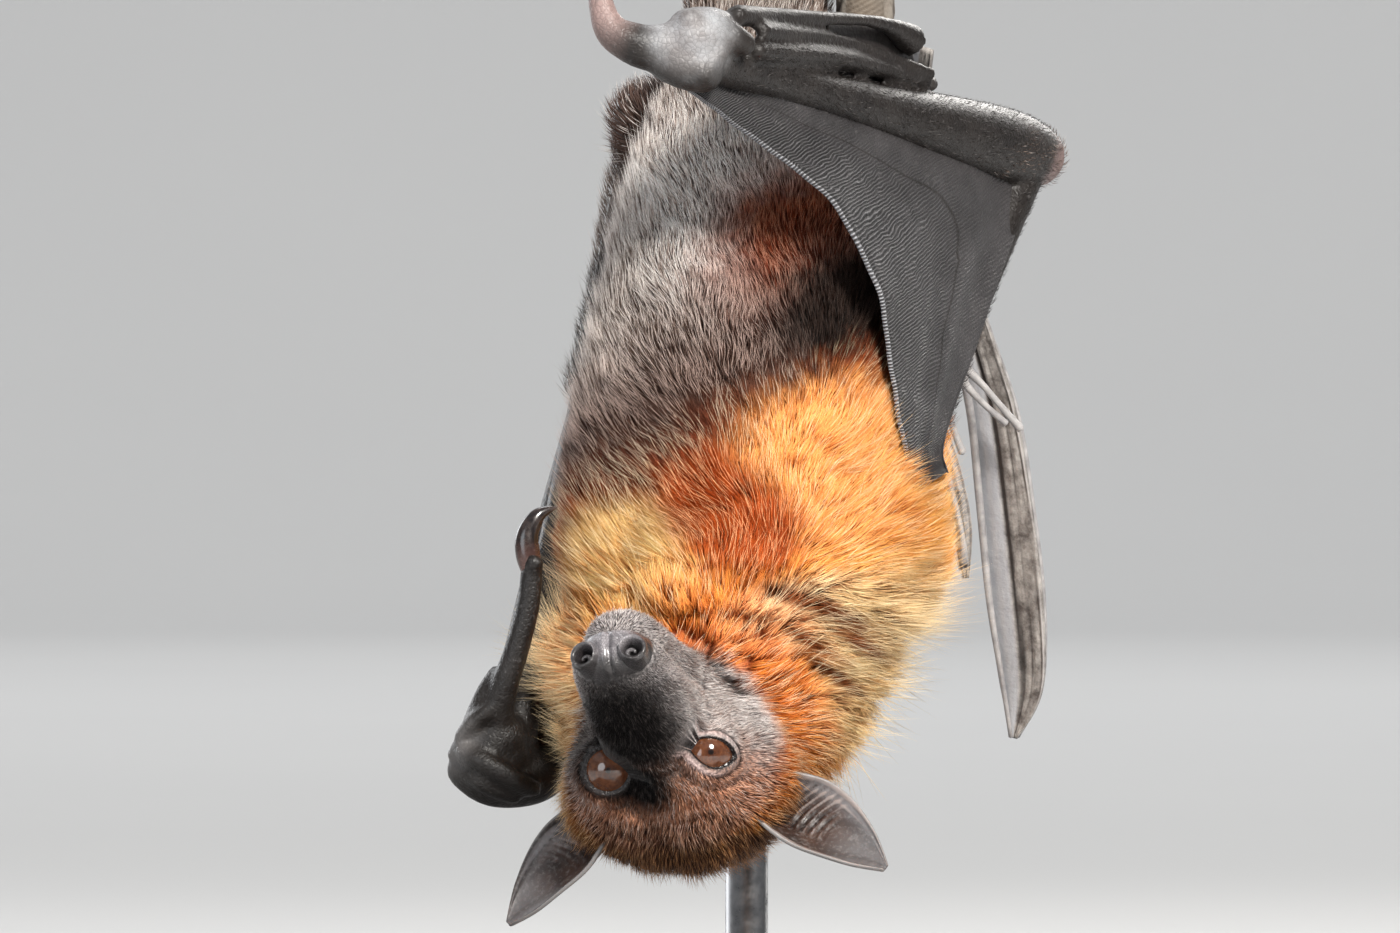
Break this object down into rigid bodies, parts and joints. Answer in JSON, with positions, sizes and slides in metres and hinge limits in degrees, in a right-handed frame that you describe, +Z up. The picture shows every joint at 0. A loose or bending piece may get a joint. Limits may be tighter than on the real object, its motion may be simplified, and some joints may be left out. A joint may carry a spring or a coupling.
{
  "type": "fruit bat",
  "caption": "Life-size fruit bat hanging head down from a cut length of branch, wings folded, on a plain display stand.",
  "frame": {"origin": "middle of the underside of the stand's base", "axes": "+Z up. The bat's belly faces -Y, and it hangs head down, so its own right side is at +X. The perch runs along Y."},
  "size_m": [0.24, 0.24, 0.3095],
  "materials": {
    "face_fur": "short dark grey fur with silver tips",
    "mantle_fur": "long orange fur with pale tips",
    "belly_fur": "dark brown fur grizzled with silver",
    "wing_skin": "fine wrinkled dark grey skin",
    "ear_skin": "thin ribbed skin with a pale rim",
    "eye": "wet, clear over a brown iris",
    "claw": "smooth dark horn",
    "bark": "rough grey bark with sawn ends",
    "stand_paint": "satin paint"
  },
  "bodies": {
    "root": {"abdomen": "belly_fur", "chest": "mantle_fur", "claw_1_foot_left": "claw", "claw_1_foot_right": "claw", "claw_2_foot_left": "claw", "claw_2_foot_right": "claw", "claw_3_foot_left": "claw", "claw_3_foot_right": "claw", "claw_4_foot_left": "claw", "claw_4_foot_right": "claw", "claw_5_foot_left": "claw", "claw_5_foot_right": "claw", "ear_left": "ear_skin", "ear_right": "ear_skin", "eye_left": "eye", "eye_right": "eye", "finger_4_right": "wing_skin", "finger_5_right": "wing_skin", "fingers_2_3_right": "wing_skin", "fingers_4_5_right": "wing_skin", "fingers_left": "wing_skin", "foot_left": "wing_skin", "foot_right": "wing_skin", "forearm_left": "wing_skin", "forearm_right": "wing_skin", "hand_left": "wing_skin", "hand_right": "wing_skin", "head": "face_fur", "lower_jaw": "face_fur", "neck": "mantle_fur", "perch": "bark", "plagiopatagium_left": "wing_skin", "plagiopatagium_right": "wing_skin", "propatagium_right": "wing_skin", "rump": "belly_fur", "shin_left": "belly_fur", "shin_right": "belly_fur", "stand_base": "stand_paint", "stand_rod": "stand_paint", "thigh_left": "belly_fur", "thigh_right": "belly_fur", "thumb_claw_left": "claw", "thumb_claw_right": "claw", "thumb_left": "wing_skin", "thumb_right": "wing_skin", "upper_arm_left": "belly_fur", "upper_arm_right": "belly_fur", "wing_lobe_right": "wing_skin", "wing_tip_left": "wing_skin", "wing_tip_right": "wing_skin"}
  },
  "joints": []
}
